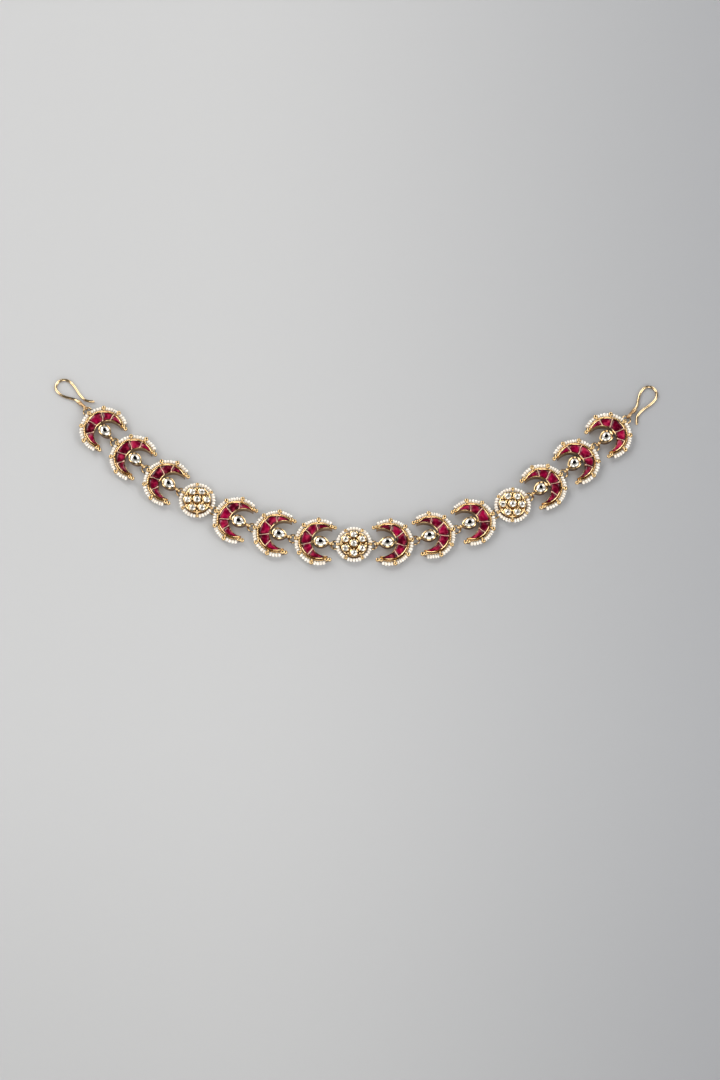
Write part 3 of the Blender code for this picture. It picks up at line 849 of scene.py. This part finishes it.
# Levels of a round stone: share of its radius, height above the body, and how light it is
# painted: the foil bright on the facets and a painted dark reflection on the table
BEZEL_STONE = np.array(
    [
        (0.98, 0.10, 0.5),
        (1.00, 0.48, 0.8),
        (0.74, 0.86, 1.0),
        (0.36, 1.00, 0.9),
        (0.29, 1.02, 0.1),
    ]
)
# The stones' seats: place, radius of the bezel and its height above the body
SEATS = [(0.0, 0.0, 2.4, 0.75)] + [
    (STONE_RING * math.cos(math.radians(a)), STONE_RING * math.sin(math.radians(a)), 2.3, 0.1)
    for a in OUTER_SEATS
]


def disc_spot(name):
    """The disc's centre, and the way to its staples' outermost points, taken towards +x."""
    points = node_points(f"disc_{name}")[:, :2]
    centre = (points.min(axis=0) + points.max(axis=0)) / 2
    away = points - centre
    reach = np.linalg.norm(away, axis=1)
    far = away[reach > reach.max() - 0.02]
    far = far * np.sign(far[:, :1])
    ahead = far.mean(axis=0)
    return centre, ahead / np.linalg.norm(ahead)


def turned_profile(profile, sides, middle=(0.0, 0.0), lift=0.0, shade=0.8, twist=0.0):
    """A profile of radii and heights turned round an upright axis, every second ring by the twist."""
    turn = np.arange(sides) * 2 * np.pi / sides
    turn = turn + twist * (np.arange(len(profile))[:, None] % 2)
    x = middle[0] + profile[:, :1] * np.cos(turn)
    y = middle[1] + profile[:, :1] * np.sin(turn)
    height = np.broadcast_to(profile[:, 1:2] + lift, x.shape)
    return stacked(np.stack([x, y, height], axis=-1), shade)


def disc_bezel(seat):
    """The bezel's profile turned round a seat's middle, at the seat's height."""
    x, y, radius, rise = seat
    profile = np.stack([radius + BEZEL_PROFILE[:, 0], DISC_TOP + BEZEL_PROFILE[:, 1]], axis=-1)
    return turned_profile(profile, BEZEL_SIDES, (x, y), rise, BEZEL_PROFILE[:, 2:3])


def disc_stone(seat):
    """A round stone in its bezel: girdle, crown ring turned by half a facet, and a table with a
    painted dark reflection in some stones, painted lighter in others.
    """
    x, y, radius, rise = seat
    radii = (radius - SETTING_WALL) * BEZEL_STONE[:, 0]
    profile = np.stack([radii, DISC_TOP + BEZEL_STONE[:, 1]], axis=-1)
    gains = (1, 1, 1, 1, chance.choice(TABLE_GAINS))
    foil_and_painted_light = (BEZEL_STONE[:, 2] * gains)[:, None]
    twist = math.pi / DISC_STONE_SIDES
    points, *rest = turned_profile(profile, DISC_STONE_SIDES, (x, y), rise, foil_and_painted_light, twist)
    tip, lean = chance.uniform(-DISC_STONE_LEAN, DISC_STONE_LEAN, 2)
    points[:, 2] += (points[:, 0] - x) * tip + (points[:, 1] - y) * lean
    return points, *rest


disc_spots = {name: disc_spot(name) for name in DISCS}
for name in DISCS:
    side = staple(DISC_ROOT, DISC_REACH)
    metal = [turned_profile(DISC_PROFILE, DISC_SIDES, shade=DISC_PROFILE[:, 2:3])]
    metal += [disc_bezel(seat) for seat in SEATS]
    metal += [side, mirrored(side)]
    metal += [
        beads_at(bead(radius), polar(distance, angles, height))
        for radius, distance, height, angles in GRANULES
    ]
    metal = set_down(metal, disc_spots[name])
    piece_of(f"disc_body_{name}", metal, plated_gold, f"disc_{name}")
    stones = set_down([disc_stone(seat) for seat in SEATS], disc_spots[name])
    node = f"disc_{name}"
    piece_of(f"disc_stones_{name}", stones, clear_stone, node, FACET_CREASE)


# Disc pearls: the same seed pearls strung right round each disc in six groups, with a round gold
# stud and a small bead between two groups, where the gaps between the outer stones are.

DISC_STRING = 9.03
DISC_STUD_SPACE = 4.6
# A stud's drilled bead and its small inner bead: radius, distance from the middle, height
DISC_STUD = (0.98, 9.15, 3.30)
DISC_INNER_BEAD = (0.55, 8.05, 4.00)
starts = GRANULE_ANGLES + DISC_STUD_SPACE
ends = GRANULE_ANGLES + 60 - DISC_STUD_SPACE
inner_places = polar(DISC_INNER_BEAD[1], GRANULE_ANGLES, DISC_INNER_BEAD[2])
disc_studs = [
    carried(polar(DISC_STRING, np.arange(72) * 5.0, STRING_LEVEL), UP, THREAD_RADIUS, 6, True),
    beads_at(bead(DISC_INNER_BEAD[0]), inner_places, GRANULE_ANGLES),
    beads_at(drilled_bead(DISC_STUD[0]), polar(DISC_STUD[1], GRANULE_ANGLES, DISC_STUD[2])),
]
for name in DISCS:
    node = f"disc_pearls_{name}"
    pearls = set_down([pearls_between(starts, ends, DISC_STRING)], disc_spots[name])
    piece_of(f"disc_seed_pearls_{name}", pearls, seed_pearl, node, ROUND_CREASE)
    metal = set_down(disc_studs, disc_spots[name])
    piece_of(f"disc_pearl_studs_{name}", metal, plated_gold, node, ROUND_CREASE)


# Jump rings: round gold wire bent to a circle and closed end to end, one between every two
# motifs, each through the staples at both sides of it.

RING_RADIUS = 2.25
RING_WIRE = 0.44
JOINT_LENGTH = 0.16
JOINT_PINCH = 0.18
RING_NAMES = [f"jump_ring_{side}_{number}" for side in SIDES for number in range(1, 9)]


def ring_place(name):
    """Centre of a frame ring, its two flat directions and its axis, by the spread of its points."""
    points = node_points(name)
    centre = points.mean(axis=0)
    spread = np.linalg.svd(points - centre)[2]
    return centre, spread[0], spread[1], spread[2]


def jump_ring(name):
    """A circle of wire, pinched and darker at its closed joint: exp(-((t - joint) / w) ^ 2), with
    painted light on its upper side and painted shade below.
    """
    centre, along, aside, axis = ring_place(name)
    turn = np.linspace(0, 2 * np.pi, 36, endpoint=False)
    path = centre + RING_RADIUS * (np.outer(np.cos(turn), along) + np.outer(np.sin(turn), aside))
    axis = axis * np.sign(axis[2])
    joint = np.exp(-(((turn - chance.uniform(1, 5)) / JOINT_LENGTH) ** 2))[:, None]
    # Painted light on the wire's upper side and painted shade below, times the darker joint.
    rubbed = (0.85 - 0.6 * joint) * np.clip(0.65 + 0.6 * np.sin(np.arange(10) * np.pi / 5), 0, 1)
    return carried(path, axis, RING_WIRE * (1 - JOINT_PINCH * joint[:, 0]), 10, True, rubbed)


for name in RING_NAMES:
    piece_of(f"closed_{name}", [jump_ring(name)], plated_gold, name, ROUND_CREASE)


# Hooks: one length of round gold wire at each end. It is bent to an upright eye on the last
# jump ring, bound there with a few turns of fine wire, and drawn out to a flat open loop whose
# filed end turns outwards.

HOOK_WIRE = 1.4
EYE_RISE = 1.175
SHANK_END = 5.2
SHANK_LIFT = 1.22
HOOK_REACH = 16.3
HOOK_HALF_WIDTH = 4.5
BINDING_WIRE = 0.28
BINDING_TURNS = 4
BINDING_START = 3.1
BINDING_LENGTH = 2.6
GOLD_DRAWN = (1.0, 0.76, 0.44, 1)
# Points of the wire from its bound end to the eye, and from the eye to the loop
HOOK_LEAD = ((3.4, 0.0, 2.40), (2.4, 0.0, 2.58), (1.2, 0.0, 2.86))
HOOK_SHANK = ((1.4, 0.0, 0.76), (3.0, 0.0, 1.12), (4.2, 0.0, SHANK_LIFT), (SHANK_END, 0.0, 1.18))
# The flat loop from the shank to the free end: shares of the reach and of the half width
HOOK_ROUTE = np.array(
    [
        (0.17, -0.12),
        (0.36, -0.52),
        (0.58, -0.86),
        (0.79, -0.90),
        (0.94, -0.62),
        (1.00, 0.02),
        (0.93, 0.70),
        (0.75, 1.06),
        (0.49, 1.03),
        (0.20, 0.78),
        (-0.06, 0.72),
        (-0.21, 0.94),
        (-0.34, 1.32),
    ]
)


def smooth_path(points, steps):
    """Catmull-Rom spans through the points: b + (c-a)t/2 + (2a-5b+4c-d)t^2/2 + (3b-a-3c+d)t^3/2."""
    ends = np.concatenate([[2 * points[0] - points[1]], points, [2 * points[-1] - points[-2]]])
    a, b, c, d = (ends[i : len(ends) - 3 + i, None] for i in range(4))
    t = np.linspace(0, 1, steps, endpoint=False)[:, None]
    spans = b + (c - a) * t / 2 + (2 * a - 5 * b + 4 * c - d) * t**2 / 2
    spans = spans + (3 * b - a - 3 * c + d) * t**3 / 2
    return np.concatenate([spans.reshape(-1, 3), points[-1:]])


def hook_spot(side):
    """Where the ring's wire passes through the eye, and the way out along the shank. Only the eye
    of the frame's hook rises above 1.6 mm.
    """
    points = node_points(f"hook_{side}")
    eye = points[points[:, 2] > 1.6][:, :2]
    middle = eye.mean(axis=0)
    ahead = np.linalg.svd(eye - middle)[2][0]
    loop = points[:, :2].mean(axis=0)
    ahead = ahead * np.sign((loop - middle) @ ahead)
    start = middle + ahead * ((eye - middle) @ ahead).min()
    return start + ahead * (EYE_RISE + HOOK_WIRE / 2), ahead


def hook_wire():
    """Upright eye, lifted shank and flat loop as one path; both ends rounded off as quarter circles."""
    floor = HOOK_WIRE / 2
    turn = np.radians(np.linspace(95, 255, 7))
    eye = np.stack([EYE_RISE * np.cos(turn), 0 * turn, floor + EYE_RISE * (1 + np.sin(turn))], axis=-1)
    loop = np.stack(
        [
            SHANK_END + HOOK_ROUTE[:, 0] * HOOK_REACH,
            -HOOK_ROUTE[:, 1] * HOOK_HALF_WIDTH,
            np.full(len(HOOK_ROUTE), floor),
        ],
        axis=-1,
    )
    path = smooth_path(np.concatenate([HOOK_LEAD, eye, HOOK_SHANK, loop]), 7)
    before, after = path[0] - path[1], path[-1] - path[-2]
    before, after = before / np.linalg.norm(before), after / np.linalg.norm(after)
    bulge = np.radians(np.array([75, 50, 25]))
    cap = np.sin(bulge)[:, None] * floor
    path = np.concatenate([path[0] + cap * before, path, path[-1] + cap[::-1] * after])
    radius = np.concatenate([np.cos(bulge), np.ones(len(path) - 6), np.cos(bulge[::-1])]) * floor
    return path, radius


def hook_body():
    """The wire's section: cos * aside + sin * over, with aside across the strip's plane at the eye."""
    path, radius = hook_wire()
    along = np.gradient(path, axis=0)
    flat = np.stack([-along[:, 1], along[:, 0], 0 * radius], axis=-1)
    in_eye = path[:, 0] < SHANK_END + 0.5
    in_eye &= np.arange(len(path)) < len(path) // 2
    flat[in_eye] = (0, 1, 0)
    over = np.cross(along, flat)
    # Painted light on the wire's upper side and painted shade below.
    rubbed = 0.35 + 0.65 * np.clip(np.sin(np.arange(12) * np.pi / 6), 0, 1)
    return carried(path, over, radius, 12, False, rubbed)


def binding():
    """A fine wire wound round the shank: a helix of the two wires' radii about the shank's line."""
    share = np.linspace(0, 1, BINDING_TURNS * 14)
    turn = 2 * np.pi * BINDING_TURNS * share
    coil = HOOK_WIRE / 2 + BINDING_WIRE * 0.85
    out = np.stack([0 * turn, np.cos(turn), np.sin(turn)], axis=-1)
    along = BINDING_START + BINDING_LENGTH * share
    middle = np.stack([along, 0 * turn, SHANK_LIFT + 0 * turn], axis=-1)
    # Painted light on the coil's upper side and painted shade below.
    rubbed = np.clip(0.45 + 0.55 * np.sin(turn), 0, 1)[:, None]
    return carried(middle + coil * out, out, BINDING_WIRE, 6, False, rubbed)


drawn_gold = finish_of(
    "drawn_gold_wire",
    {"Scale": 350.0, "Depth": 0.04, "Smooth": 0.14, "Rough": 0.24},
    GOLD_PAINTED_SHADE,
    GOLD_DRAWN,
    metallic=1.0,
)

for side in SIDES:
    wires = set_down([hook_body(), binding()], hook_spot(side))
    piece_of(f"wire_hook_{side}", wires, drawn_gold, f"hook_{side}", ROUND_CREASE)


# Studio: a pale paper floor with painted shade off to the right and a little in front, a soft
# key from the upper left, a low fill, and a room with bright windows, darker walls between them
# and a dark ceiling.

FLOOR_HALF = 3.0
PAPER_LIT = (0.524, 0.524, 0.524, 1)
PAPER_SHADED = (0.340, 0.344, 0.356, 1)
LIGHT_TARGET = (0, 0.02, 0)
WINDOWS = 5
WINDOW_GLOW = 2.45
WALL_GLOW = 0.05
CEILING = (0.02, 0.02, 0.02, 1)
ROOM_STRENGTH = 1.24
floor_mesh = bpy.data.meshes.new("paper_floor")
corners = [(x * FLOOR_HALF, y * FLOOR_HALF, 0) for x, y in ((-1, -1), (1, -1), (1, 1), (-1, 1))]
floor_mesh.from_pydata(corners, [], [(0, 1, 2, 3)])
paper = bpy.data.materials.new("pale_paper")
paper.use_nodes = True
paper_nodes, paper_links = paper.node_tree.nodes, paper.node_tree.links
paper_shader = paper_nodes["Principled BSDF"]
paper_shader.inputs["Roughness"].default_value = 0.85
paper_shader.inputs["Specular IOR Level"].default_value = 0.2
# The paper's colour carries painted shade: darker to the right and a little towards the front.
paper_place = paper_nodes.new("ShaderNodeTexCoord")
split = paper_nodes.new("ShaderNodeSeparateXYZ")
smooth_step = {"interpolation_type": "SMOOTHSTEP"}
fall_range = {"From Min": -0.10, "From Max": 0.30}
fall = shader_node(paper_nodes, "ShaderNodeMapRange", fall_range, **smooth_step)
paper_tints = {"A": PAPER_LIT, "B": PAPER_SHADED}
shadow_side = shader_node(paper_nodes, "ShaderNodeMix", paper_tints, data_type="RGBA")
near_range = {"From Min": -0.36, "From Max": -0.08, "To Min": 0.88}
near = shader_node(paper_nodes, "ShaderNodeMapRange", near_range, **smooth_step)
multiply = {"data_type": "RGBA", "blend_type": "MULTIPLY"}
dimmed = shader_node(paper_nodes, "ShaderNodeMix", {"Factor": 1.0}, **multiply)
paper_links.new(paper_place.outputs["Object"], split.inputs["Vector"])
paper_links.new(split.outputs["X"], fall.inputs["Value"])
paper_links.new(fall.outputs["Result"], shadow_side.inputs["Factor"])
paper_links.new(split.outputs["Y"], near.inputs["Value"])
paper_links.new(shadow_side.outputs["Result"], dimmed.inputs["A"])
paper_links.new(near.outputs["Result"], dimmed.inputs["B"])
paper_links.new(dimmed.outputs["Result"], paper_shader.inputs["Base Color"])
floor_mesh.materials.append(paper)
paper_floor = bpy.data.objects.new("paper_floor", floor_mesh)
bpy.context.collection.objects.link(paper_floor)
paper_floor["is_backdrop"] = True


def aimed(thing, place, target):
    """Moves a light or camera to a place and turns its -Z to the target, with +Y kept upwards."""
    place, target = (np.array(spot, float) for spot in (place, target))
    back = (place - target) / np.linalg.norm(place - target)
    right = np.cross((0, 0, 1), back)
    right /= np.linalg.norm(right)
    turned = np.stack([right, np.cross(back, right), back, place], axis=-1)
    thing.matrix_world = Matrix([*turned.tolist(), (0, 0, 0, 1)])


def soft_light(name, place, size, power, colour):
    """A rectangular area light at a place, aimed at the strip."""
    lamp = bpy.data.lights.new(name, "AREA")
    lamp.shape = "RECTANGLE"
    lamp.size, lamp.size_y = size
    lamp.energy = power
    lamp.color = colour
    holder = bpy.data.objects.new(name, lamp)
    bpy.context.collection.objects.link(holder)
    aimed(holder, place, LIGHT_TARGET)


soft_light("key", (-0.95, 0.75, 1.25), (0.9, 0.9), 7, (1, 0.985, 0.96))
soft_light("fill", (1.3, -0.9, 0.9), (0.8, 0.8), 5, (0.96, 0.98, 1))

room = bpy.data.worlds.new("studio")
room.use_nodes = True
room_nodes, room_links = room.node_tree.nodes, room.node_tree.links
sky_place = room_nodes.new("ShaderNodeTexCoord")
sky_split = room_nodes.new("ShaderNodeSeparateXYZ")
overhead_range = {"From Min": 0.84, "From Max": 0.90}
overhead = shader_node(room_nodes, "ShaderNodeMapRange", overhead_range, **smooth_step)
bearing = shader_node(room_nodes, "ShaderNodeTexGradient", gradient_type="RADIAL")
turns = {1: 2 * math.pi * WINDOWS}
wave_angle = shader_node(room_nodes, "ShaderNodeMath", turns, operation="MULTIPLY")
wave = shader_node(room_nodes, "ShaderNodeMath", operation="SINE")
panel_range = {"From Min": 0.0, "From Max": 0.5, "To Min": WALL_GLOW, "To Max": WINDOW_GLOW}
panel = shader_node(room_nodes, "ShaderNodeMapRange", panel_range, **smooth_step)
sky = shader_node(room_nodes, "ShaderNodeMix", {"B": CEILING}, data_type="RGBA")
room_links.new(sky_place.outputs["Generated"], bearing.inputs["Vector"])
room_links.new(bearing.outputs["Fac"], wave_angle.inputs[0])
room_links.new(wave_angle.outputs["Value"], wave.inputs[0])
room_links.new(wave.outputs["Value"], panel.inputs["Value"])
room_links.new(panel.outputs["Result"], sky.inputs["A"])
room_links.new(sky_place.outputs["Generated"], sky_split.inputs["Vector"])
room_links.new(sky_split.outputs["Z"], overhead.inputs["Value"])
room_links.new(overhead.outputs["Result"], sky.inputs["Factor"])
room_links.new(sky.outputs["Result"], room_nodes["Background"].inputs["Color"])
room_nodes["Background"].inputs["Strength"].default_value = ROOM_STRENGTH
bpy.context.scene.world = room


# Camera: a long lens from the front and high above, as the picture is taken, aimed at the floor
# under the centre disc. Its place is worked out in metres.

CAMERA_RISE = 72
CAMERA_DISTANCE = 4.936
CAMERA_AIM = np.array([0.0033, 0.00345, 0.0])
camera = bpy.data.cameras.new("camera")
camera.sensor_fit = "HORIZONTAL"
camera.sensor_width = 24
camera.lens = 300
camera.clip_end = 20
viewer = bpy.data.objects.new("camera", camera)
bpy.context.collection.objects.link(viewer)
rise = math.radians(CAMERA_RISE)
reach = CAMERA_DISTANCE * np.array([0, -math.cos(rise), math.sin(rise)])
aimed(viewer, CAMERA_AIM + reach, CAMERA_AIM)
bpy.context.scene.camera = viewer

bpy.context.view_layer.update()
boxes = {"cad": cad_box, "visual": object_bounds()}
boxes = {name: [list(corner) for corner in box] for name, box in boxes.items()}
